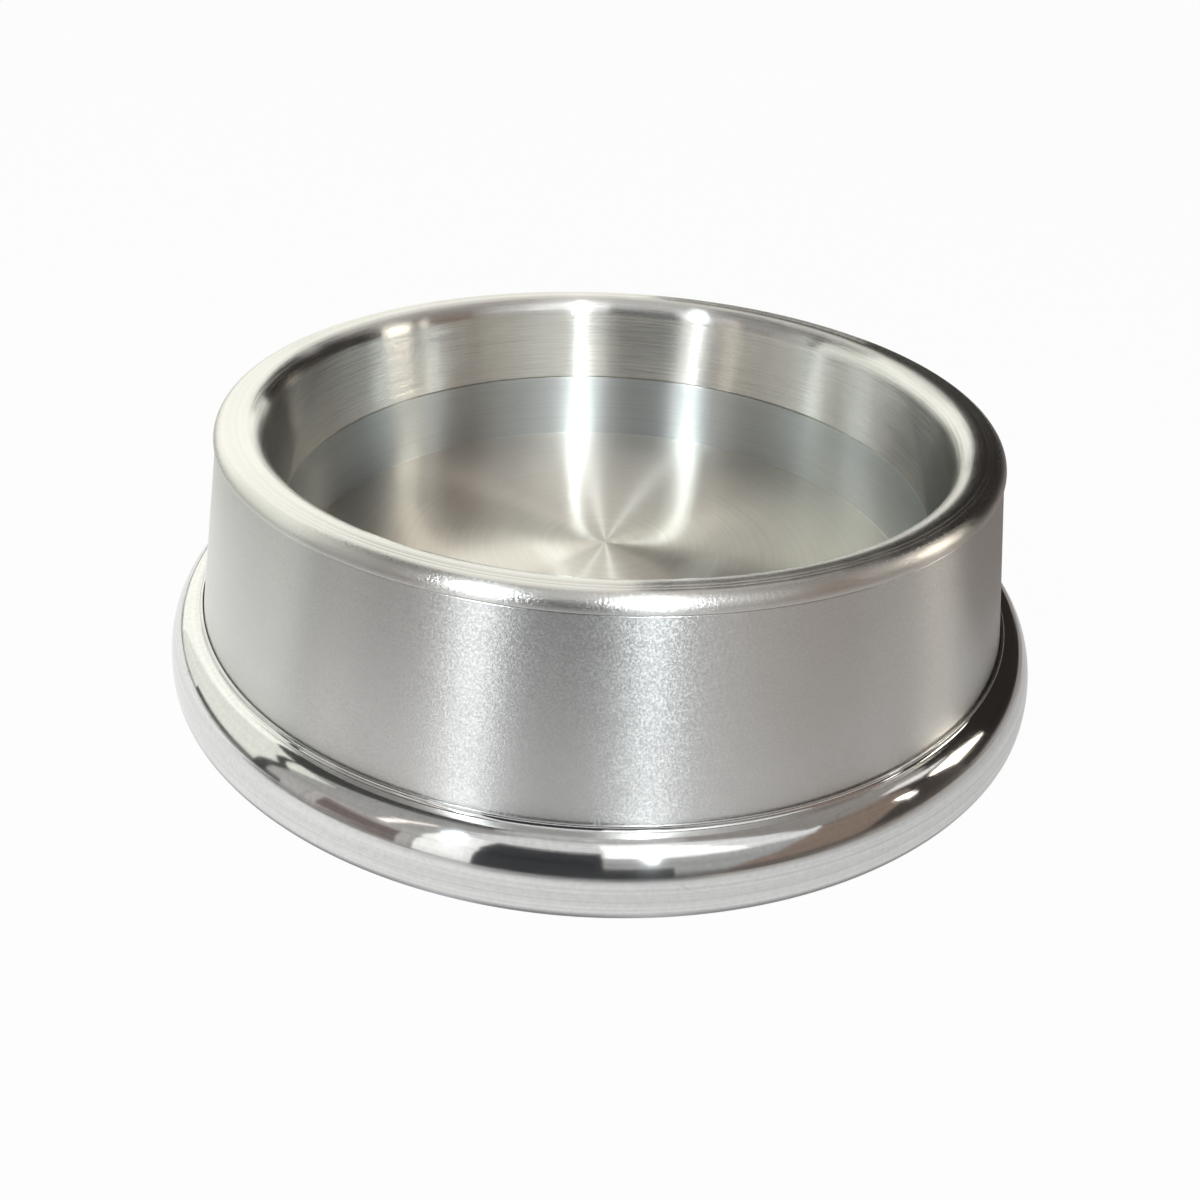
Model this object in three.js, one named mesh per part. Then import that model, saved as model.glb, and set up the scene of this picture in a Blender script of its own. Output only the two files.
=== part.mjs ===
// Aluminium dog dish that is hard to tip: a turned bowl hangs from a rolled rim inside a flared skirt,
// and the skirt stands in a heavy polished foot ring.
// Millimetres, +Z up, standing on z = 0 with its axis on Z.
import * as THREE from "three";

// Gap left between pieces that nest in one another
const clearance = 0.3;

// Bowl
const floorRadius = 79.7;
const floorHeight = 17.4;
const floorCrown = 3.2;
const floorThickness = 3;
const bandHeight = 19.2;
const bandFlare = 0.6;
const bowlWall = 1.7;
const heelRound = 3;

// Rim collar
const collarWall = 1.6;
const sleeveProud = 0.3;
const sleeveHeight = 18.4;
const sleeveFlare = 1.9;
const mouthBend = 3.9;
const crownWidth = 2.3;
const lipBend = 1.6;

// Skirt
const skirtWall = 1.6;
const skirtInset = 0.4;
const skirtFlare = 8.3;

// Foot ring
const ledgeHeight = 5;
const ledgeWidth = 5;
const footHeel = 2.5;
const beadHeight = 13;
const beadWidth = 7.6;
const coveHeight = 1;
const coveWidth = 0.8;
const footLipWidth = 0.5;

// Steps round a full turn, and along each half of a profile's arc
const turnSteps = 64;
const arcSteps = 3;

// Heights and radii of the collar, from the bowl that it is pressed into
const bandTopRadius = floorRadius + bandFlare;
const sleeveEdgeHeight = floorHeight + bandHeight;
const sleeveEdgeRadius = bandTopRadius - sleeveProud;
const bendHeight = sleeveEdgeHeight + sleeveHeight;
const mouthRadius = sleeveEdgeRadius + sleeveFlare;
const mouthRound = mouthBend + collarWall;
const lipRound = lipBend + collarWall;
const rimHeight = bendHeight + mouthRound;
const crownInnerRadius = mouthRadius + mouthRound;
const crownOuterRadius = crownInnerRadius + crownWidth;
const rimRadius = crownOuterRadius + lipRound;
const lipHeight = rimHeight - lipRound;
const channelHeight = rimHeight - collarWall;

// Bowl wall behind the sleeve
const seatFoot = sleeveEdgeRadius + collarWall + clearance;
const seatTop = mouthRadius + collarWall + clearance;
const seatHeight = sleeveEdgeHeight - clearance;
const bandWall = seatFoot + bowlWall - bandTopRadius;

// Skirt between the rim's lip and the foot ring
const shoulderRadius = rimRadius - skirtInset;
const shoulderHeight = lipHeight - clearance;
const footTop = footHeel + beadHeight + coveHeight;
const skirtSlope = skirtFlare / (shoulderHeight - footTop);
const skirtFootHeight = ledgeHeight + clearance;
const skirtRadiusAt = (height) => shoulderRadius + (shoulderHeight - height) * skirtSlope;

// Foot ring round the skirt's lower edge
const footBoreTop = skirtRadiusAt(footTop) + clearance;
const footBoreLedge = skirtRadiusAt(ledgeHeight) + clearance;
const ledgeRadius = skirtRadiusAt(ledgeHeight) - skirtWall - ledgeWidth;
const coveOuterRadius = footBoreTop + footLipWidth + coveWidth;
const footRadius = coveOuterRadius + beadWidth;

const quarter = Math.PI / 2;

const polished = { color: 0xd9d8d4, roughness: 0.12, metalness: 1 };
const turnedFinish = { color: 0xc9cac6, roughness: 0.28, metalness: 1 };
const satin = { color: 0xb9b9b6, roughness: 0.42, metalness: 1 };

// A closed profile of radius and height, drawn anticlockwise, becomes a ring about Z
function turnedPiece(name, profile, finish) {
  const geometry = new THREE.LatheGeometry(profile.getPoints(arcSteps), turnSteps);
  geometry.rotateX(quarter);
  const piece = new THREE.Mesh(geometry, new THREE.MeshStandardMaterial(finish));
  piece.name = name;
  return piece;
}

function makeInnerBowl() {
  // The floor is a shallow dome, and its underside follows it
  const domeRadius = (floorRadius ** 2 + floorCrown ** 2) / (2 * floorCrown);
  const domeCentre = floorHeight + floorCrown - domeRadius;
  const domeTilt = Math.asin(floorRadius / domeRadius);
  const underRadius = domeRadius - floorThickness;
  const heelCentre = floorRadius + bandWall - heelRound;
  const underTilt = Math.asin(heelCentre / underRadius);
  const heelHeight = domeCentre + underRadius * Math.cos(underTilt) + heelRound;
  const profile = new THREE.Path();
  profile.moveTo(0, domeCentre + underRadius);
  profile.absarc(0, domeCentre, underRadius, quarter, quarter - underTilt, true);
  profile.absarc(heelCentre, heelHeight, heelRound, -quarter, 0, false);
  profile.lineTo(seatFoot + bowlWall, seatHeight);
  profile.lineTo(seatTop + bowlWall, bendHeight);
  profile.lineTo(seatTop, bendHeight);
  profile.lineTo(seatFoot, seatHeight);
  profile.lineTo(bandTopRadius, seatHeight);
  profile.lineTo(floorRadius, floorHeight);
  profile.absarc(0, domeCentre, domeRadius, quarter - domeTilt, quarter, false);
  return turnedPiece("inner_bowl", profile, turnedFinish);
}

function makeRimCollar() {
  const profile = new THREE.Path();
  profile.moveTo(rimRadius, lipHeight);
  profile.absarc(crownOuterRadius, lipHeight, lipRound, 0, quarter, false);
  profile.lineTo(crownInnerRadius, rimHeight);
  profile.absarc(crownInnerRadius, bendHeight, mouthRound, quarter, 2 * quarter, false);
  profile.lineTo(sleeveEdgeRadius, sleeveEdgeHeight);
  profile.lineTo(sleeveEdgeRadius + collarWall, sleeveEdgeHeight);
  profile.lineTo(mouthRadius + collarWall, bendHeight);
  profile.absarc(crownInnerRadius, bendHeight, mouthBend, 2 * quarter, quarter, true);
  profile.lineTo(crownOuterRadius, channelHeight);
  profile.absarc(crownOuterRadius, lipHeight, lipBend, quarter, 0, true);
  profile.lineTo(rimRadius, lipHeight);
  return turnedPiece("rim_collar", profile, polished);
}

function makeOuterSkirt() {
  // The top is flanged inwards, and a short tongue stands up inside the rim's channel
  const flangeHeight = shoulderHeight - skirtWall;
  const tongueInner = crownOuterRadius - skirtWall;
  const tongueTop = channelHeight - clearance;
  const footOuter = skirtRadiusAt(skirtFootHeight);
  const profile = new THREE.Path();
  profile.moveTo(footOuter, skirtFootHeight);
  profile.lineTo(shoulderRadius, shoulderHeight);
  profile.lineTo(crownOuterRadius, shoulderHeight);
  profile.lineTo(crownOuterRadius, tongueTop);
  profile.lineTo(tongueInner, tongueTop);
  profile.lineTo(tongueInner, flangeHeight);
  profile.lineTo(skirtRadiusAt(flangeHeight) - skirtWall, flangeHeight);
  profile.lineTo(footOuter - skirtWall, skirtFootHeight);
  profile.lineTo(footOuter, skirtFootHeight);
  return turnedPiece("outer_skirt", profile, satin);
}

function makeFootRing() {
  const profile = new THREE.Path();
  profile.moveTo(ledgeRadius, 0);
  profile.lineTo(footRadius - footHeel, 0);
  profile.absarc(footRadius - footHeel, footHeel, footHeel, -quarter, 0, false);
  profile.absellipse(coveOuterRadius, footHeel, beadWidth, beadHeight, 0, quarter, false);
  profile.absellipse(coveOuterRadius, footTop, coveWidth, coveHeight, -quarter, -2 * quarter, true);
  profile.lineTo(footBoreTop, footTop);
  profile.lineTo(footBoreLedge, ledgeHeight);
  profile.lineTo(ledgeRadius, ledgeHeight);
  profile.lineTo(ledgeRadius, 0);
  return turnedPiece("foot_ring", profile, polished);
}

const dogDish = new THREE.Group();
dogDish.add(makeInnerBowl(), makeRimCollar(), makeOuterSkirt(), makeFootRing());

export default dogDish;
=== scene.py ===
import bpy
import bmesh
import math
from mathutils import Matrix, Vector


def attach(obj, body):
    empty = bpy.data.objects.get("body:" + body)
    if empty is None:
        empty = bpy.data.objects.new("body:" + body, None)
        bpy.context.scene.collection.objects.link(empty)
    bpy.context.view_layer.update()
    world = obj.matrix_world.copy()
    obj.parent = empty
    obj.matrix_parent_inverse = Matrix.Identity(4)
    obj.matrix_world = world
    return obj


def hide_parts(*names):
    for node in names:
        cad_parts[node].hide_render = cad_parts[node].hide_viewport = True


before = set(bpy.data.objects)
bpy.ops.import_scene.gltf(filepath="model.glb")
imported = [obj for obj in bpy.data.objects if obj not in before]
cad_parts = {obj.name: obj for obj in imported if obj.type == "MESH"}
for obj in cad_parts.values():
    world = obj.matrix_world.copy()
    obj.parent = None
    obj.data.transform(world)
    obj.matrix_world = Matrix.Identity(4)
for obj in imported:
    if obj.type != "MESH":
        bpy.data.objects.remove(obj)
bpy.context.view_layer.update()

mm = 0.001
noiseMiddle = 0.5  # a noise texture swings about this value


# A profile is drawn in the XZ plane: a point is pulled along lines and spun along arcs.
# The wire that it leaves is then spun about Z.

latheValues = {
    "turnSteps": 288,  # steps round every turned piece
    "weld": 0.001,  # mm, closer points are merged
    "cornerAngle": 35,  # degrees, sharper corners are broken
    "cornerSegments": 2,
    "sharpAngle": 12,  # degrees, the shading breaks past this
}


def startProfile(radius, height):
    bm = bmesh.new()
    tip = bm.verts.new((radius * mm, 0, height * mm))
    return bm, tip


def lineTo(bm, tip, radius, height, parts=1):
    start = tip.co.copy()
    finish = Vector((radius * mm, 0, height * mm))
    for part in range(parts):
        tip = bmesh.ops.extrude_vert_indiv(bm, verts=[tip])["verts"][0]
        tip.co = start.lerp(finish, (part + 1) / parts)
    return tip


def arcAbout(bm, tip, radius, height, degrees, steps):
    turned = bmesh.ops.spin(bm, geom=[tip], cent=(radius * mm, 0, height * mm), axis=(0, -1, 0),
                            angle=math.radians(degrees), steps=steps)
    return turned["geom_last"][0]


def ovalArc(bm, tip, radius, height, degrees, steps, base, stretch):
    # an arc that is stretched upwards from its base
    before = set(bm.verts)
    tip = arcAbout(bm, tip, radius, height, degrees, steps)
    fresh = [vert for vert in bm.verts if vert not in before]
    bmesh.ops.scale(bm, vec=(1, 1, stretch), verts=fresh, space=Matrix.Translation((0, 0, -base * mm)))
    return tip


def spinPiece(name, bm, node, edgeRound):
    weld = latheValues["weld"] * mm
    bmesh.ops.remove_doubles(bm, verts=bm.verts[:], dist=weld)
    bmesh.ops.spin(bm, geom=bm.verts[:] + bm.edges[:], cent=(0, 0, 0), axis=(0, 0, 1),
                   angle=math.tau, steps=latheValues["turnSteps"], use_merge=True)
    bmesh.ops.remove_doubles(bm, verts=bm.verts[:], dist=weld)
    bmesh.ops.recalc_face_normals(bm, faces=bm.faces[:])
    # every hard corner left by the lathe is broken a little
    sharpest = math.radians(latheValues["cornerAngle"])
    corners = [edge for edge in bm.edges if edge.calc_face_angle(0) > sharpest]
    bmesh.ops.bevel(bm, geom=corners, offset=edgeRound * mm, segments=latheValues["cornerSegments"],
                    profile=0.5, affect="EDGES", material=-1)
    for face in bm.faces:
        face.smooth = True
    mesh = bpy.data.meshes.new(name)
    bm.to_mesh(mesh)
    bm.free()
    mesh.set_sharp_from_angle(angle=math.radians(latheValues["sharpAngle"]))
    piece = bpy.data.objects.new(name, mesh)
    bpy.context.scene.collection.objects.link(piece)
    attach(piece, "root")
    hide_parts(node)
    print("made", name, len(mesh.polygons), "faces")
    return piece


# Node helpers

def addNode(tree, kind, **settings):
    node = tree.nodes.new(kind)
    for key, value in settings.items():
        setattr(node, key, value)
    return node


def feed(tree, socket, source):
    # a socket takes a link or a plain value
    if isinstance(source, bpy.types.NodeSocket):
        tree.links.new(source, socket)
    elif source is not None:
        socket.default_value = source


def sourceOf(socket):
    return socket.links[0].from_socket


def doMath(tree, operation, first, second=None, clamp=False):
    node = addNode(tree, "ShaderNodeMath", operation=operation, use_clamp=clamp)
    feed(tree, node.inputs[0], first)
    feed(tree, node.inputs[1], second)
    return node.outputs[0]


def times(tree, first, second):
    return doMath(tree, "MULTIPLY", first, second)


def plus(tree, first, second, clamp=False):
    return doMath(tree, "ADD", first, second, clamp)


def mapRange(tree, value, span, result=(0.0, 1.0), smooth=False):
    kind = "SMOOTHSTEP" if smooth else "LINEAR"
    node = addNode(tree, "ShaderNodeMapRange", interpolation_type=kind)
    for socket, source in zip(node.inputs, (value, *span, *result)):
        feed(tree, socket, source)
    return node.outputs["Result"]


def mixColour(tree, factor, first, second):
    node = addNode(tree, "ShaderNodeMix", data_type="RGBA")
    feed(tree, node.inputs["Factor"], factor)
    feed(tree, node.inputs[6], first)  # 6 and 7 are the node's colour sockets
    feed(tree, node.inputs[7], second)
    return node.outputs[2]


def vectorMath(tree, operation, first, second=None):
    node = addNode(tree, "ShaderNodeVectorMath", operation=operation)
    feed(tree, node.inputs[0], first)
    feed(tree, node.inputs["Scale" if operation == "SCALE" else 1], second)
    return node.outputs[0]


def newGroup(name, inputs, outputs):
    group = bpy.data.node_groups.new(name, "ShaderNodeTree")
    for label, value in inputs.items():
        socket = group.interface.new_socket(label, in_out="INPUT", socket_type="NodeSocketFloat")
        socket.default_value = value
    for label in outputs:
        kind = "NodeSocketVector" if label == "Normal" else "NodeSocketFloat"
        group.interface.new_socket(label, in_out="OUTPUT", socket_type=kind)
    return group, addNode(group, "NodeGroupInput"), addNode(group, "NodeGroupOutput")


def addGroup(tree, group, values):
    node = addNode(tree, "ShaderNodeGroup", node_tree=group)
    for label, value in values.items():
        feed(tree, node.inputs[label], value)
    return node


def objectPlace(tree):
    return addNode(tree, "ShaderNodeTexCoord").outputs["Object"]


def axisPlace(tree):
    # where a point is, and how far from the axis
    split = addNode(tree, "ShaderNodeSeparateXYZ")
    feed(tree, split.inputs[0], objectPlace(tree))
    x, y, z = split.outputs
    radius = doMath(tree, "SQRT", plus(tree, times(tree, x, x), times(tree, y, y)))
    return x, y, z, radius


# Turning lines: rings that a tool or a polishing belt leaves all the way round,
# each tilted up or down the profile

ringValues = {
    "inputs": {"Pitch": 2500.0, "Run": 2.0, "Tilt": 0.1, "Fine Tilt": 0.1},
    "axisGap": 0.0005,  # metres, keeps the middle from dividing by nought
    "detail": 2.0,
    "finer": 40.0,  # how much closer the fine rings are
    "swing": 8.0,  # turns the noise into a tilt
}


def makeTurningLines(rings):
    group, given, out = newGroup("turningLines", rings["inputs"], ["Lines", "Normal"])
    run = given.outputs["Run"]
    pitch = given.outputs["Pitch"]
    x, y, z, radius = axisPlace(group)
    safeRadius = doMath(group, "MAXIMUM", radius, rings["axisGap"])
    cosine = doMath(group, "DIVIDE", x, safeRadius)
    sine = doMath(group, "DIVIDE", y, safeRadius)
    place = addNode(group, "ShaderNodeCombineXYZ")
    feed(group, place.inputs[0], times(group, cosine, run))
    feed(group, place.inputs[1], times(group, sine, run))
    feed(group, place.inputs[2], times(group, z, pitch))
    outward = times(group, radius, pitch)
    tilts = []
    for finer, label in ((1.0, "Tilt"), (rings["finer"], "Fine Tilt")):
        noise = addNode(group, "ShaderNodeTexNoise", noise_dimensions="4D")
        noise.inputs["Detail"].default_value = rings["detail"]
        noise.inputs["Scale"].default_value = finer
        feed(group, noise.inputs["Vector"], place.outputs[0])
        feed(group, noise.inputs["W"], outward)
        if label == "Tilt":
            feed(group, out.inputs["Lines"], noise.outputs[0])
        swing = times(group, doMath(group, "SUBTRACT", noise.outputs[0], noiseMiddle), rings["swing"])
        tilts.append(times(group, swing, given.outputs[label]))
    around = addNode(group, "ShaderNodeCombineXYZ")  # along the ring
    feed(group, around.inputs[0], times(group, sine, -1.0))
    feed(group, around.inputs[1], cosine)
    upright = addNode(group, "ShaderNodeNewGeometry").outputs["Normal"]
    along = vectorMath(group, "CROSS_PRODUCT", around.outputs[0], upright)  # along the profile
    lean = vectorMath(group, "SCALE", along, plus(group, tilts[0], tilts[1]))
    tilted = vectorMath(group, "NORMALIZE", vectorMath(group, "ADD", upright, lean))
    feed(group, out.inputs["Normal"], tilted)
    return group


# Handling: smudges from hands and cloths, and patches of hairline scratches

handlingValues = {
    "inputs": {"Smudge Size": 40.0, "Scratch Size": 220.0},
    "smudgeDetail": 5.0, "smudgeRoughness": 0.6, "smudgeSpan": (0.35, 0.7),
    # turn in radians and stretch of two sets of scratches
    "strokes": ((0.5, (1.0, 0.05, 1.0)), (-1.1, (0.06, 1.0, 0.9))),
    "strokeLean": 0.7, "strokeDetail": 0.0, "hairline": 0.006,
    "patchScale": 90.0, "patchSpan": (0.56, 0.66),
}


def makeHandling(marks):
    group, given, out = newGroup("handling", marks["inputs"], ["Smudges", "Scratches"])
    place = objectPlace(group)
    cloud = addNode(group, "ShaderNodeTexNoise")
    cloud.inputs["Detail"].default_value = marks["smudgeDetail"]
    cloud.inputs["Roughness"].default_value = marks["smudgeRoughness"]
    feed(group, cloud.inputs["Vector"], place)
    feed(group, cloud.inputs["Scale"], given.outputs["Smudge Size"])
    feed(group, out.inputs["Smudges"], mapRange(group, cloud.outputs[0], marks["smudgeSpan"], smooth=True))
    hairlines = []
    for turn, stretch in marks["strokes"]:
        bend = addNode(group, "ShaderNodeMapping")
        bend.inputs["Rotation"].default_value = (turn, turn * marks["strokeLean"], turn)
        bend.inputs["Scale"].default_value = stretch
        feed(group, bend.inputs["Vector"], place)
        strokes = addNode(group, "ShaderNodeTexNoise")
        strokes.inputs["Detail"].default_value = marks["strokeDetail"]
        feed(group, strokes.inputs["Vector"], bend.outputs[0])
        feed(group, strokes.inputs["Scale"], given.outputs["Scratch Size"])
        away = doMath(group, "ABSOLUTE", doMath(group, "SUBTRACT", strokes.outputs[0], noiseMiddle))
        hairlines.append(mapRange(group, away, (0.0, marks["hairline"]), (1.0, 0.0)))
    both = doMath(group, "MAXIMUM", hairlines[0], hairlines[1])
    patches = addNode(group, "ShaderNodeTexNoise")
    patches.inputs["Scale"].default_value = marks["patchScale"]
    feed(group, patches.inputs["Vector"], place)
    shown = mapRange(group, patches.outputs[0], marks["patchSpan"])
    feed(group, out.inputs["Scratches"], times(group, both, shown))
    return group


# Satin grain: a blasted or sanded surface, with a small pit in some cells of a coarser pattern

grainValues = {
    "inputs": {"Size": 2600.0},
    "detail": 3.0, "roughness": 0.65,
    "pitScale": 0.25,  # of the grain's own scale
    "pitPick": 0.62,  # cells above this have a pit
    "pitEdge": (0.04, 0.08),
}


def makeSatinGrain(grain):
    group, given, out = newGroup("satinGrain", grain["inputs"], ["Grain", "Specks"])
    place = objectPlace(group)
    noise = addNode(group, "ShaderNodeTexNoise")
    noise.inputs["Detail"].default_value = grain["detail"]
    noise.inputs["Roughness"].default_value = grain["roughness"]
    feed(group, noise.inputs["Vector"], place)
    feed(group, noise.inputs["Scale"], given.outputs["Size"])
    feed(group, out.inputs["Grain"], noise.outputs[0])
    cells = addNode(group, "ShaderNodeTexVoronoi")
    feed(group, cells.inputs["Vector"], place)
    feed(group, cells.inputs["Scale"], times(group, given.outputs["Size"], grain["pitScale"]))
    picked = doMath(group, "GREATER_THAN", cells.outputs["Color"], grain["pitPick"])
    dot = mapRange(group, cells.outputs["Distance"], grain["pitEdge"], (1.0, 0.0))
    feed(group, out.inputs["Specks"], times(group, picked, dot))
    return group


turningLines = makeTurningLines(ringValues)
handling = makeHandling(handlingValues)
satinGrain = makeSatinGrain(grainValues)
print("made the shared groups")


# Bare metal, with the values of one look

metalValues = {
    "glossTurn": 0.25,  # gloss spreads across the rings, not along them
    "toneSpan": (0.3, 0.7),  # noise from the dark tone to the light one
    "glitterSpan": (0.45, 0.75),  # noise of the duller grains
    "scratchColour": (0.30, 0.29, 0.28, 1), "scratchRough": 0.15,
    "pitColour": (0.34, 0.33, 0.31, 1), "pitRough": 0.2,
}


def newMetal(name, look, inner=None):
    # an inner look takes over towards the axis, between the two radii of its fade
    material = bpy.data.materials.new(name)
    material.use_nodes = True
    tree = material.node_tree
    shader = tree.nodes["Principled BSDF"]
    shader.inputs["Metallic"].default_value = 1.0
    shader.inputs["Anisotropic"].default_value = look["stretch"]
    shader.inputs["Anisotropic Rotation"].default_value = metalValues["glossTurn"]
    tangent = addNode(tree, "ShaderNodeTangent", direction_type="RADIAL", axis="Z")
    feed(tree, shader.inputs["Tangent"], tangent.outputs[0])
    dark = look["dark"]
    light = look["light"]
    rough = look["rough"]
    fineTilt = look["fineTilt"]
    if inner:
        radius = axisPlace(tree)[3]
        near, far = inner["fade"]
        outward = mapRange(tree, radius, (near * mm, far * mm), smooth=True)
        dark = mixColour(tree, outward, inner["dark"], dark)
        light = mixColour(tree, outward, inner["light"], light)
        rough = mapRange(tree, outward, (0.0, 1.0), (inner["rough"], rough))
        fineTilt = mapRange(tree, outward, (0.0, 1.0), (inner["fineTilt"], fineTilt))
    lines = addGroup(tree, turningLines, {"Pitch": look["pitch"], "Run": look["run"],
                                          "Tilt": look["tilt"], "Fine Tilt": fineTilt})
    hands = addGroup(tree, handling, {"Smudge Size": look["smudge"], "Scratch Size": look["scratch"]})
    grit = addGroup(tree, satinGrain, {"Size": look["grainSize"]})
    # colour: lighter and darker rings and grains, grime in the smudges, dark scratches and pits
    ringTone = times(tree, lines.outputs["Lines"], 1.0 - look["grain"])
    grainTone = times(tree, grit.outputs["Grain"], look["grain"])
    mottle = mapRange(tree, plus(tree, ringTone, grainTone), metalValues["toneSpan"])
    grime = times(tree, hands.outputs["Smudges"], look["grime"])
    scratches = times(tree, hands.outputs["Scratches"], look["scratchDepth"])
    pits = times(tree, grit.outputs["Specks"], look["pits"])
    tone = mixColour(tree, mottle, dark, light)
    tone = mixColour(tree, grime, tone, look["grimeColour"])
    tone = mixColour(tree, scratches, tone, metalValues["scratchColour"])
    tone = mixColour(tree, pits, tone, metalValues["pitColour"])
    feed(tree, shader.inputs["Base Color"], tone)
    # roughness: rings, smudges, scratches, pits and single grains
    swing = look["roughRange"]
    ringRough = mapRange(tree, lines.outputs["Lines"], metalValues["toneSpan"], (-swing, swing))
    rough = plus(tree, rough, ringRough)
    rough = plus(tree, rough, times(tree, hands.outputs["Smudges"], look["smudgeRough"]))
    rough = plus(tree, rough, times(tree, scratches, metalValues["scratchRough"]))
    rough = plus(tree, rough, times(tree, pits, metalValues["pitRough"]))
    glitter = mapRange(tree, grit.outputs["Grain"], metalValues["glitterSpan"], (0.0, look["glitter"]))
    feed(tree, shader.inputs["Roughness"], plus(tree, rough, glitter, clamp=True))
    # relief: tilted rings, with grain and scratches on them
    bump = addNode(tree, "ShaderNodeBump")
    bump.inputs["Distance"].default_value = look["depth"] * mm
    feed(tree, bump.inputs["Height"], doMath(tree, "SUBTRACT", grainTone, scratches))
    feed(tree, bump.inputs["Normal"], lines.outputs["Normal"])
    feed(tree, shader.inputs["Normal"], bump.outputs[0])
    print("finish", name)
    return material


# Bowl: crowned floor turned on a lathe, satin band above it. Sizes are in millimetres.

bowlValues = {
    "floorRadius": 79.7, "floorHeight": 17.4, "crown": 3.2, "thickness": 3.0,
    "bandTop": 80.3, "bandHeight": 36.3,
    "seatFoot": 81.9, "seatTop": 83.8, "seatHeight": 55.0, "wall": 1.7,
    "heel": 3.0, "edgeRound": 0.25,
    "underSteps": 12, "heelSteps": 8, "bandSteps": 12, "floorSteps": 40,
    "bandLean": 0.6,  # faces whose normal rises less belong to the band
    "floorLook": {
        "stretch": 1.0, "rough": 0.28, "roughRange": 0.004,
        "pitch": 1000.0, "run": 0.03, "tilt": 0.004, "fineTilt": 0.12, "depth": 0.02,
        "smudge": 26.0, "smudgeRough": 0.02, "grime": 0.08, "grimeColour": (0.60, 0.58, 0.54, 1),
        "scratch": 160.0, "scratchDepth": 0.05,
        "grain": 0.05, "grainSize": 2600.0, "pits": 0.0, "glitter": 0.01,
        "dark": (0.86, 0.83, 0.76, 1), "light": (0.93, 0.90, 0.83, 1),
    },
    "bandLook": {
        "stretch": 1.0, "rough": 0.31, "roughRange": 0.01,
        "pitch": 1500.0, "run": 0.1, "tilt": 0.0, "fineTilt": 0.10, "depth": 0.01,
        "smudge": 34.0, "smudgeRough": 0.03, "grime": 0.18, "grimeColour": (0.48, 0.50, 0.51, 1),
        "scratch": 150.0, "scratchDepth": 0.03,
        "grain": 0.3, "grainSize": 2400.0, "pits": 0.0, "glitter": 0.015,
        "dark": (0.53, 0.56, 0.57, 1), "light": (0.63, 0.665, 0.675, 1),
    },
}


def makeBowl(bowl):
    domeRadius = (bowl["floorRadius"] ** 2 + bowl["crown"] ** 2) / (2 * bowl["crown"])
    domeCentre = bowl["floorHeight"] + bowl["crown"] - domeRadius
    underRadius = domeRadius - bowl["thickness"]
    outer = bowl["seatFoot"] + bowl["wall"]
    heelCentre = outer - bowl["heel"]
    underTilt = math.degrees(math.asin(heelCentre / underRadius))
    domeTilt = math.degrees(math.asin(bowl["floorRadius"] / domeRadius))
    bm, tip = startProfile(0, domeCentre + underRadius)
    tip = arcAbout(bm, tip, 0, domeCentre, -underTilt, bowl["underSteps"])
    heelHeight = tip.co.z / mm + bowl["heel"]
    tip = arcAbout(bm, tip, heelCentre, heelHeight, 90, bowl["heelSteps"])
    tip = lineTo(bm, tip, outer, bowl["bandHeight"])
    tip = lineTo(bm, tip, bowl["seatTop"] + bowl["wall"], bowl["seatHeight"])
    tip = lineTo(bm, tip, bowl["seatTop"], bowl["seatHeight"])
    tip = lineTo(bm, tip, bowl["seatFoot"], bowl["bandHeight"])
    tip = lineTo(bm, tip, bowl["bandTop"], bowl["bandHeight"])
    tip = lineTo(bm, tip, bowl["floorRadius"], bowl["floorHeight"], bowl["bandSteps"])
    arcAbout(bm, tip, 0, domeCentre, domeTilt, bowl["floorSteps"])
    piece = spinPiece("turnedBowl", bm, "inner_bowl", bowl["edgeRound"])
    piece.data.materials.append(newMetal("turnedFloor", bowl["floorLook"]))
    piece.data.materials.append(newMetal("satinBand", bowl["bandLook"]))
    for face in piece.data.polygons:
        upright = abs(face.normal.z) < bowl["bandLean"]
        face.material_index = 1 if upright else 0


# Rim: polished collar, sleeve inside the bowl, roll over the mouth, lip outside

rimValues = {
    "edgeRadius": 80.0, "edgeHeight": 36.6, "wall": 1.6,
    "mouthRadius": 81.9, "bendHeight": 55.0, "mouthRound": 5.5,
    "crown": 2.3, "lipRound": 3.2, "edgeRound": 0.15,
    "grooves": (89.1, 88.2), "grooveHalf": 0.22, "grooveDepth": 0.035,
    "lipSteps": 16, "mouthSteps": 22, "sleeveSteps": 12, "insideSteps": 8,
    "satinFrom": (89.9, 91.2), "satinRough": 0.11,
    "lipGrain": 1900.0, "lipGrainDepth": 0.05,
    "rollLook": {
        "stretch": 1.0, "rough": 0.165, "roughRange": 0.01,
        "pitch": 1500.0, "run": 0.1, "tilt": 0.01, "fineTilt": 0.03, "depth": 0.006,
        "smudge": 30.0, "smudgeRough": 0.02, "grime": 0.10, "grimeColour": (0.62, 0.60, 0.57, 1),
        "scratch": 170.0, "scratchDepth": 0.06,
        "grain": 0.4, "grainSize": 1600.0, "pits": 0.08, "glitter": 0.06,
        "dark": (0.76, 0.75, 0.72, 1), "light": (0.86, 0.85, 0.82, 1),
    },
    "sleeveLook": {
        "fade": (83.2, 87.4), "rough": 0.16, "fineTilt": 0.24,
        "dark": (0.73, 0.725, 0.70, 1), "light": (0.82, 0.815, 0.79, 1),
    },
}


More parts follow.
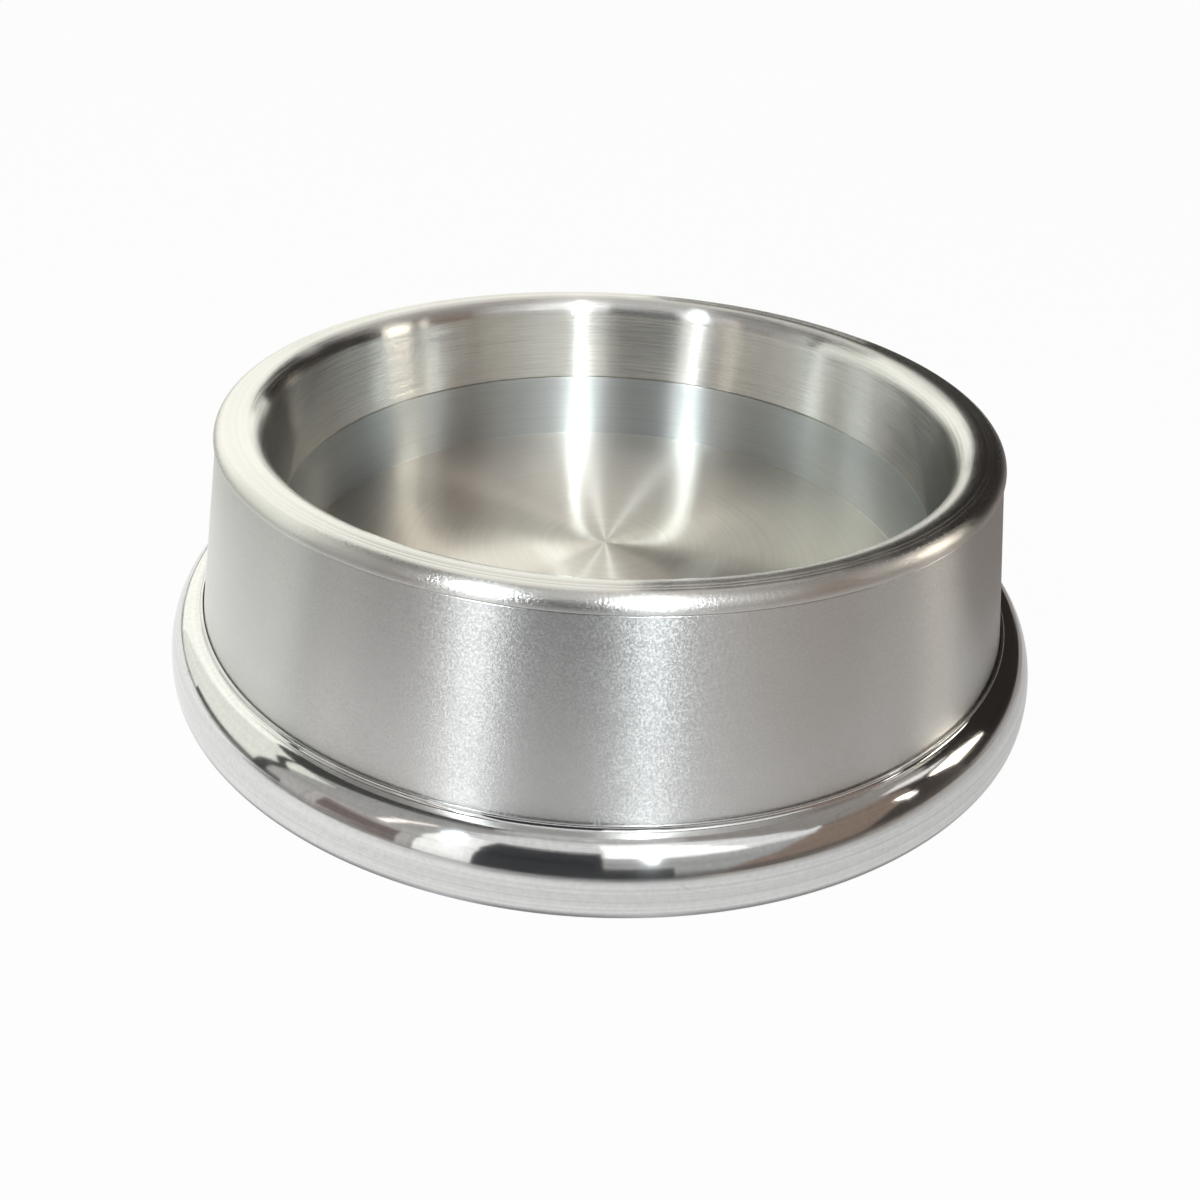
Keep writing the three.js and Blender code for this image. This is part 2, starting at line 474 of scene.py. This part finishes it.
def makeRim(rim):
    crownInner = rim["mouthRadius"] + rim["mouthRound"]
    crownOuter = crownInner + rim["crown"]
    top = rim["bendHeight"] + rim["mouthRound"]
    lipHeight = top - rim["lipRound"]
    wall = rim["wall"]
    bm, tip = startProfile(crownOuter + rim["lipRound"], lipHeight)
    tip = arcAbout(bm, tip, crownOuter, lipHeight, 90, rim["lipSteps"])
    for groove in rim["grooves"]:
        tip = lineTo(bm, tip, groove + rim["grooveHalf"], top)
        tip = lineTo(bm, tip, groove, top - rim["grooveDepth"])
        tip = lineTo(bm, tip, groove - rim["grooveHalf"], top)
    tip = lineTo(bm, tip, crownInner, top)
    tip = arcAbout(bm, tip, crownInner, rim["bendHeight"], 90, rim["mouthSteps"])
    tip = lineTo(bm, tip, rim["edgeRadius"], rim["edgeHeight"], rim["sleeveSteps"])
    tip = lineTo(bm, tip, rim["edgeRadius"] + wall, rim["edgeHeight"])
    tip = lineTo(bm, tip, rim["mouthRadius"] + wall, rim["bendHeight"])
    tip = arcAbout(bm, tip, crownInner, rim["bendHeight"], -90, rim["insideSteps"])
    tip = lineTo(bm, tip, crownOuter, top - wall)
    tip = arcAbout(bm, tip, crownOuter, lipHeight, -90, rim["insideSteps"])
    lineTo(bm, tip, crownOuter + rim["lipRound"], lipHeight)
    piece = spinPiece("rolledRim", bm, "rim_collar", rim["edgeRound"])
    finish = newMetal("polishedRim", rim["rollLook"], rim["sleeveLook"])
    piece.data.materials.append(finish)
    # the lip turns satin where it was blasted together with the skirt
    tree = finish.node_tree
    shader = tree.nodes["Principled BSDF"]
    radius = axisPlace(tree)[3]
    inside, outside = rim["satinFrom"]
    satin = mapRange(tree, radius, (inside * mm, outside * mm), smooth=True)
    duller = times(tree, satin, rim["satinRough"])
    rough = plus(tree, sourceOf(shader.inputs["Roughness"]), duller, clamp=True)
    feed(tree, shader.inputs["Roughness"], rough)
    grit = addGroup(tree, satinGrain, {"Size": rim["lipGrain"]})
    blasted = addNode(tree, "ShaderNodeBump")
    blasted.inputs["Distance"].default_value = rim["lipGrainDepth"] * mm
    feed(tree, blasted.inputs["Height"], times(tree, grit.outputs["Grain"], satin))
    feed(tree, blasted.inputs["Normal"], sourceOf(shader.inputs["Normal"]))
    feed(tree, shader.inputs["Normal"], blasted.outputs[0])


# Skirt: satin cone between the rim's lip and the foot

skirtValues = {
    "shoulder": 92.5, "shoulderHeight": 57.0, "wall": 1.6, "footHeight": 5.3,
    "flare": 8.3, "flareHeight": 40.5,  # how far it widens, over which height
    "tongueOuter": 89.7, "tongueTop": 58.6, "edgeRound": 0.2,
    "outsideSteps": 20, "insideSteps": 10,
    "look": {
        "stretch": 0.98, "rough": 0.285, "roughRange": 0.004,
        "pitch": 1500.0, "run": 0.4, "tilt": 0.0, "fineTilt": 0.0, "depth": 0.03,
        "smudge": 22.0, "smudgeRough": 0.02, "grime": 0.10, "grimeColour": (0.52, 0.515, 0.50, 1),
        "scratch": 120.0, "scratchDepth": 0.01,
        "grain": 0.9, "grainSize": 2150.0, "pits": 0.0, "glitter": 0.165,
        "dark": (0.71, 0.705, 0.69, 1), "light": (0.85, 0.845, 0.825, 1),
    },
}


def makeSkirt(skirt):
    slope = skirt["flare"] / skirt["flareHeight"]
    wall = skirt["wall"]
    footRadius = skirt["shoulder"] + (skirt["shoulderHeight"] - skirt["footHeight"]) * slope
    flange = skirt["shoulderHeight"] - wall
    flangeRadius = skirt["shoulder"] + wall * slope - wall
    tongueInner = skirt["tongueOuter"] - wall
    bm, tip = startProfile(footRadius, skirt["footHeight"])
    tip = lineTo(bm, tip, skirt["shoulder"], skirt["shoulderHeight"], skirt["outsideSteps"])
    tip = lineTo(bm, tip, skirt["tongueOuter"], skirt["shoulderHeight"])
    tip = lineTo(bm, tip, skirt["tongueOuter"], skirt["tongueTop"])
    tip = lineTo(bm, tip, tongueInner, skirt["tongueTop"])
    tip = lineTo(bm, tip, tongueInner, flange)
    tip = lineTo(bm, tip, flangeRadius, flange)
    tip = lineTo(bm, tip, footRadius - wall, skirt["footHeight"], skirt["insideSteps"])
    lineTo(bm, tip, footRadius, skirt["footHeight"])
    piece = spinPiece("satinSkirt", bm, "outer_skirt", skirt["edgeRound"])
    piece.data.materials.append(newMetal("satinSkirtFinish", skirt["look"]))


# Foot: mirror polished bead with a small cove against the skirt

footValues = {
    "ledgeRadius": 96.56, "ledge": 5.0, "boreLedge": 103.46, "boreTop": 101.1, "top": 16.5,
    "coveOuter": 102.4, "coveWidth": 0.8, "coveHeight": 1.0,
    "beadWidth": 7.6, "beadHeight": 13.0, "heel": 2.5, "edgeRound": 0.12,
    "heelSteps": 10, "beadSteps": 40, "coveSteps": 8,
    # painted shade at the heel's base, with a rougher finish over the same band
    "shadeAndDullHeight": (1.6, 3.2), "shadeShare": 0.8, "dullRough": 0.3, "paintedShadeColour": (0.22, 0.22, 0.225, 1),
    "look": {
        "stretch": 1.0, "rough": 0.085, "roughRange": 0.006,
        "pitch": 1400.0, "run": 0.6, "tilt": 0.02, "fineTilt": 0.012, "depth": 0.0012,
        "smudge": 34.0, "smudgeRough": 0.02, "grime": 0.08, "grimeColour": (0.62, 0.62, 0.61, 1),
        "scratch": 190.0, "scratchDepth": 0.35,
        "grain": 0.35, "grainSize": 900.0, "pits": 0.5, "glitter": 0.0,
        "dark": (0.69, 0.69, 0.68, 1), "light": (0.92, 0.92, 0.91, 1),
    },
}


def makeFoot(foot):
    footRadius = foot["coveOuter"] + foot["beadWidth"]
    heel = foot["heel"]
    crest = heel + foot["beadHeight"]
    bm, tip = startProfile(foot["ledgeRadius"], 0)
    tip = lineTo(bm, tip, footRadius - heel, 0)
    tip = arcAbout(bm, tip, footRadius - heel, heel, 90, foot["heelSteps"])
    # bead: a quarter oval that stands on the heel
    tip = ovalArc(bm, tip, foot["coveOuter"], heel, 90, foot["beadSteps"],
                  heel, foot["beadHeight"] / foot["beadWidth"])
    # cove: a quarter round hollow, a little taller than wide
    tip = ovalArc(bm, tip, foot["coveOuter"], crest + foot["coveWidth"], -90, foot["coveSteps"],
                  crest, foot["coveHeight"] / foot["coveWidth"])
    tip = lineTo(bm, tip, foot["boreTop"], foot["top"])
    tip = lineTo(bm, tip, foot["boreLedge"], foot["ledge"])
    tip = lineTo(bm, tip, foot["ledgeRadius"], foot["ledge"])
    lineTo(bm, tip, foot["ledgeRadius"], 0)
    piece = spinPiece("polishedFoot", bm, "foot_ring", foot["edgeRound"])
    finish = newMetal("mirrorFoot", foot["look"])
    piece.data.materials.append(finish)
    # painted shade: the heel's base is darker, standing in for the dark contact gap mirrored there, and it
    # is also rougher
    tree = finish.node_tree
    shader = tree.nodes["Principled BSDF"]
    height = axisPlace(tree)[2]
    low, high = foot["shadeAndDullHeight"]
    shadeAndDull = mapRange(tree, height, (low * mm, high * mm), (1.0, 0.0), smooth=True)
    paintedShade = times(tree, shadeAndDull, foot["shadeShare"])
    tone = mixColour(tree, paintedShade, sourceOf(shader.inputs["Base Color"]), foot["paintedShadeColour"])
    feed(tree, shader.inputs["Base Color"], tone)
    duller = times(tree, shadeAndDull, foot["dullRough"])
    rough = plus(tree, sourceOf(shader.inputs["Roughness"]), duller, clamp=True)
    feed(tree, shader.inputs["Roughness"], rough)


makeBowl(bowlValues)
makeRim(rimValues)
makeSkirt(skirtValues)
makeFoot(footValues)


# Stage: floor, cards that the metal mirrors, lamps and world, in metres

stageValues = {
    "floorSize": 6.0, "floorSegments": 96, "floorDrop": 0.0003,
    "floorColour": (0.66, 0.62, 0.60, 1), "floorRough": 0.9, "floorWhite": 0.97,
    "floorMirrored": (0.92, 0.22),  # how white the metal sees it, on the left and the right
    "floorFade": 0.16,  # distance from the middle at which these are reached
    "worldColour": (1, 1, 1, 1), "worldLevel": 0.15, "worldWhite": 0.977,
    "cardDistance": 1.6, "cardSteps": 8, "groundLift": 0.001,
    "cardTurn": 6,  # degrees to one step round
    "fewestTurns": 2,
}

# Azimuth is seen from above, 0 towards the camera and growing towards +X, in degrees.
# Near brings a card closer, and lean turns it as it rises.
cards = [
    {"name": "creamBackCard", "azimuth": (-183, -150), "elevation": (0, 32), "level": 1.15,
     "colour": (1.0, 1.0, 0.93)},
    {"name": "creamUpperCard", "azimuth": (-183, -150), "elevation": (32, 62), "level": 0.88,
     "colour": (1.0, 0.99, 0.93)},
    {"name": "creamMidCard", "azimuth": (-150, -122), "elevation": (0, 48), "level": 1.18,
     "colour": (1.0, 1.0, 0.93)},
    {"name": "creamEndCard", "azimuth": (163, 178), "elevation": (0, 14), "level": 1.3,
     "colour": (1.0, 1.0, 0.93), "near": 0.02},
    {"name": "creamSideCard", "azimuth": (-122, -79), "elevation": (0, 48), "level": 1.0,
     "colour": (0.93, 0.95, 0.87)},
    {"name": "lowDarkStrip", "azimuth": (-101, -68), "elevation": (0, 4.6), "level": 0.04,
     "colour": (0.4, 0.4, 0.38), "near": 1.0},
    {"name": "darkEdgeStrip", "azimuth": (-81, -77), "elevation": (0, 28), "level": 0.22,
     "colour": (0.3, 0.3, 0.29), "near": 0.02},
    {"name": "darkLeanStrip", "azimuth": (-81, -77), "elevation": (28, 50), "level": 0.22,
     "colour": (0.3, 0.3, 0.29), "near": 0.04, "lean": -1.0},
    {"name": "greyCard", "azimuth": (-79, -38), "elevation": (0, 60), "level": 0.5,
     "colour": (0.8, 0.79, 0.77)},
    {"name": "paleLowCard", "azimuth": (-77, -66), "elevation": (0, 16), "level": 0.54,
     "colour": (0.9, 0.88, 0.85), "near": 0.03},
    {"name": "pinkStrip", "azimuth": (-50, -47), "elevation": (24, 55), "level": 1.6,
     "colour": (1.0, 0.9, 0.86), "near": 0.05},
    {"name": "paleFrontCard", "azimuth": (-65, -39), "elevation": (0, 23), "level": 0.54,
     "colour": (0.92, 0.88, 0.85), "near": 0.03},
    {"name": "brownFrontCard", "azimuth": (-62, -42), "elevation": (2, 19), "level": 0.32,
     "colour": (0.55, 0.45, 0.42), "near": 0.05},
    {"name": "whiteStrip", "azimuth": (-38, -27), "elevation": (0, 46), "level": 1.1,
     "colour": (1.0, 1.0, 0.98)},
    {"name": "blackFlag", "azimuth": (-25, 3), "elevation": (0, 47), "level": 0.08,
     "colour": (0.5, 0.52, 0.56)},
    {"name": "darkFlag", "azimuth": (3, 18), "elevation": (0, 15), "level": 0.08,
     "colour": (0.5, 0.5, 0.52)},
    {"name": "brownLowCard", "azimuth": (18, 92), "elevation": (0, 6), "level": 0.15,
     "colour": (0.62, 0.52, 0.46)},
    {"name": "brownSideCard", "azimuth": (29, 60), "elevation": (6, 54), "level": 0.36,
     "colour": (0.72, 0.55, 0.45), "near": -0.03, "lean": 0.94},
    {"name": "darkBrownCard", "azimuth": (60, 92), "elevation": (6, 54), "level": 0.1,
     "colour": (0.62, 0.52, 0.46), "near": -0.03, "lean": 0.94},
    {"name": "sideStrip", "azimuth": (88, 100), "elevation": (20, 34), "level": 6.2,
     "colour": (1.0, 0.92, 0.8), "near": 1.05},
    {"name": "sideSlit", "azimuth": (77.5, 81), "elevation": (22, 31), "level": 4.6,
     "colour": (1.0, 0.95, 0.9), "near": 0.05},
    {"name": "highStrip", "azimuth": (99, 115), "elevation": (40, 50), "level": 1.0,
     "colour": (1.0, 0.97, 0.94), "near": 0.05},
    {"name": "darkSideCard", "azimuth": (92, 178), "elevation": (0, 46), "level": 0.05,
     "colour": (0.5, 0.42, 0.38)},
    {"name": "warmTopCard", "azimuth": (62, 150), "elevation": (46, 78), "level": 0.34,
     "colour": (0.86, 0.8, 0.76)},
    {"name": "paleTopCard", "azimuth": (150, 180), "elevation": (36, 78), "level": 0.8,
     "colour": (0.88, 0.84, 0.8)},
    {"name": "paleBackCard", "azimuth": (-183, -150), "elevation": (62, 78), "level": 0.5,
     "colour": (0.92, 0.9, 0.86)},
    {"name": "darkTopCard", "azimuth": (-150, -95), "elevation": (48, 78), "level": 0.1,
     "colour": (0.6, 0.58, 0.55)},
    {"name": "greyTopCard", "azimuth": (-122, -45), "elevation": (48, 78), "level": 0.46,
     "colour": (0.8, 0.8, 0.78), "near": -0.02},
    {"name": "brightTopCard", "azimuth": (4, 40), "elevation": (36, 74), "level": 1.5,
     "colour": (1.0, 1.0, 1.0)},
    {"name": "frontTopCard", "azimuth": (-46, 4), "elevation": (45, 78), "level": 0.8,
     "colour": (1.0, 1.0, 1.0), "near": -0.06},
    {"name": "frontRightCard", "azimuth": (3, 76), "elevation": (0, 36), "level": 0.4,
     "colour": (1.0, 1.0, 1.0), "near": -0.06},
    {"name": "rightTopCard", "azimuth": (36, 76), "elevation": (36, 78), "level": 0.9,
     "colour": (1.0, 1.0, 1.0), "near": -0.06},
    {"name": "topCard", "azimuth": (-180, 180), "elevation": (78, 89), "level": 0.6,
     "colour": (0.86, 0.86, 0.85)},
    # laid on the floor, with the white sheet showing inside them
    {"name": "leftGroundCard", "azimuth": (-180, -66), "reach": (0.24, 1.6), "level": 0.24,
     "colour": (0.86, 0.86, 0.82)},
    {"name": "frontGroundCard", "azimuth": (-66, -26), "reach": (0.21, 1.6), "level": 0.25,
     "colour": (0.8, 0.78, 0.76)},
    {"name": "darkGroundCard", "azimuth": (-26, 20), "reach": (0.21, 1.6), "level": 0.28,
     "colour": (0.5, 0.5, 0.52)},
    {"name": "brownGroundCard", "azimuth": (20, 84), "reach": (0.21, 1.6), "level": 0.65,
     "colour": (0.66, 0.61, 0.57)},
    {"name": "rightGroundCard", "azimuth": (84, 150), "reach": (0.14, 1.6), "level": 0.54,
     "colour": (0.6, 0.55, 0.52)},
]

lamps = [
    {"name": "keyLamp", "azimuth": 15.5, "elevation": 44, "distance": 1.5,
     "size": (0.03, 0.36), "watts": 6.5, "colour": (0.88, 0.96, 1.0)},
    {"name": "sideLamp", "azimuth": -35.5, "elevation": 42, "distance": 1.5,
     "size": (0.02, 0.3), "watts": 5.5, "colour": (0.88, 0.96, 1.0)},
]


def stagePoint(azimuth, elevation, distance):
    a = math.radians(azimuth)
    e = math.radians(elevation)
    return Vector((math.sin(a) * math.cos(e), -math.cos(a) * math.cos(e), math.sin(e))) * distance


def makeCard(card):
    left, right = card["azimuth"]
    bm = bmesh.new()
    if "reach" in card:
        lift = Vector((0, 0, stageValues["groundLift"]))
        bm.edges.new([bm.verts.new(stagePoint(left, 0, reach) + lift) for reach in card["reach"]])
    else:
        low, high = card["elevation"]
        rise = high - low
        steps = stageValues["cardSteps"]
        start = bm.verts.new(stagePoint(left, low, stageValues["cardDistance"] - card.get("near", 0.0)))
        across = Vector((-math.cos(math.radians(left)), -math.sin(math.radians(left)), 0))
        bmesh.ops.spin(bm, geom=[start], cent=(0, 0, 0), axis=across, angle=math.radians(rise), steps=steps)
        for step, point in enumerate(sorted(bm.verts, key=lambda vert: vert.co.z)):
            turn = Matrix.Rotation(math.radians(card.get("lean", 0.0) * rise * step / steps), 3, "Z")
            bmesh.ops.rotate(bm, cent=(0, 0, 0), matrix=turn, verts=[point])
    turns = max(stageValues["fewestTurns"], int(right - left) // stageValues["cardTurn"])
    bmesh.ops.spin(bm, geom=bm.verts[:] + bm.edges[:], cent=(0, 0, 0), axis=(0, 0, 1),
                   angle=math.radians(right - left), steps=turns)
    mesh = bpy.data.meshes.new(card["name"])
    bm.to_mesh(mesh)
    bm.free()
    sheet = bpy.data.objects.new(card["name"], mesh)
    bpy.context.scene.collection.objects.link(sheet)
    material = bpy.data.materials.new(card["name"] + "Paper")
    material.use_nodes = True
    tree = material.node_tree
    tree.nodes.clear()
    # the card glows at its own level: a painted reflection of the room for the metal, not a lamp
    glow = addNode(tree, "ShaderNodeEmission")
    glow.inputs["Color"].default_value = (*card["colour"], 1)
    glow.inputs["Strength"].default_value = card["level"]
    out = addNode(tree, "ShaderNodeOutputMaterial")
    feed(tree, out.inputs["Surface"], glow.outputs[0])
    mesh.materials.append(material)
    sheet.visible_camera = False  # only the metal sees the cards
    sheet.visible_diffuse = False
    sheet.visible_shadow = False


def makeLamp(lamp):
    data = bpy.data.lights.new(lamp["name"], "AREA")
    data.shape = "RECTANGLE"
    data.size, data.size_y = lamp["size"]
    data.energy = lamp["watts"]
    data.color = lamp["colour"]
    light = bpy.data.objects.new(lamp["name"], data)
    light.location = stagePoint(lamp["azimuth"], lamp["elevation"], lamp["distance"])
    light.rotation_euler = (-light.location).to_track_quat("-Z", "Y").to_euler()
    light.visible_camera = False
    bpy.context.scene.collection.objects.link(light)


def backdropRays(tree, seen, mirrored=1.0):
    # the camera sees the plain white backdrop, and so do mirrors and glass
    rays = addNode(tree, "ShaderNodeLightPath")
    bounced = doMath(tree, "MAXIMUM", rays.outputs["Is Glossy Ray"], rays.outputs["Is Transmission Ray"])
    direct = times(tree, rays.outputs["Is Camera Ray"], seen)
    return doMath(tree, "MAXIMUM", direct, times(tree, bounced, mirrored))


def makeFloor(stage):
    bm = bmesh.new()
    bmesh.ops.create_circle(bm, cap_ends=True, segments=stage["floorSegments"], radius=stage["floorSize"])
    bmesh.ops.translate(bm, vec=(0, 0, -stage["floorDrop"]), verts=bm.verts[:])
    mesh = bpy.data.meshes.new("floor")
    bm.to_mesh(mesh)
    bm.free()
    floor = bpy.data.objects.new("floor", mesh)
    bpy.context.scene.collection.objects.link(floor)
    material = bpy.data.materials.new("whitePaper")
    material.use_nodes = True
    tree = material.node_tree
    shader = tree.nodes["Principled BSDF"]
    shader.inputs["Base Color"].default_value = stage["floorColour"]
    shader.inputs["Roughness"].default_value = stage["floorRough"]
    glow = addNode(tree, "ShaderNodeEmission")
    blend = addNode(tree, "ShaderNodeMixShader")
    # painted light: mirrored in the metal, the sheet glows brighter on its left
    split = addNode(tree, "ShaderNodeSeparateXYZ")
    feed(tree, split.inputs[0], objectPlace(tree))
    fade = stage["floorFade"]
    mirrored = mapRange(tree, split.outputs[0], (-fade, fade), stage["floorMirrored"])
    feed(tree, blend.inputs[0], backdropRays(tree, stage["floorWhite"], mirrored))
    feed(tree, blend.inputs[1], shader.outputs[0])
    feed(tree, blend.inputs[2], glow.outputs[0])
    feed(tree, tree.nodes["Material Output"].inputs["Surface"], blend.outputs[0])
    mesh.materials.append(material)


def makeWorld(stage):
    world = bpy.data.worlds.new("studio")
    world.use_nodes = True
    tree = world.node_tree
    soft = tree.nodes["Background"]
    soft.inputs["Color"].default_value = stage["worldColour"]
    soft.inputs["Strength"].default_value = stage["worldLevel"]
    white = addNode(tree, "ShaderNodeBackground")
    white.inputs["Color"].default_value = stage["worldColour"]
    blend = addNode(tree, "ShaderNodeMixShader")
    feed(tree, blend.inputs[0], backdropRays(tree, stage["worldWhite"]))
    feed(tree, blend.inputs[1], soft.outputs[0])
    feed(tree, blend.inputs[2], white.outputs[0])
    feed(tree, tree.nodes["World Output"].inputs["Surface"], blend.outputs[0])
    bpy.context.scene.world = world


makeFloor(stageValues)
makeWorld(stageValues)
for card in cards:
    makeCard(card)
for lamp in lamps:
    makeLamp(lamp)
print("stage set with", len(cards), "cards and", len(lamps), "lamps")


# Camera: close and looking down, slightly rolled. Lens and sensor are in millimetres, the rest in metres.

cameraValues = {
    "location": (0.0, -0.247166, 0.156535), "aim": (-0.000674, 0.0, 0.002436), "roll": 2.75,
    "lens": 32.079, "sensor": 36.0, "clipStart": 0.01,
}


def makeCamera(place):
    data = bpy.data.cameras.new("camera")
    data.lens = place["lens"]
    data.sensor_width = place["sensor"]
    data.clip_start = place["clipStart"]
    camera = bpy.data.objects.new("camera", data)
    camera.location = place["location"]
    level = (Vector(place["aim"]) - camera.location).to_track_quat("-Z", "Y")
    turn = level.to_matrix().to_4x4() @ Matrix.Rotation(math.radians(place["roll"]), 4, "Z")
    camera.rotation_euler = turn.to_euler()
    bpy.context.scene.collection.objects.link(camera)
    bpy.context.scene.camera = camera
    print("camera placed")


makeCamera(cameraValues)
bpy.context.scene.view_settings.view_transform = "Standard"
bpy.context.scene.cycles.blur_glossy = 0.0  # the polished wall mirrors itself sharply
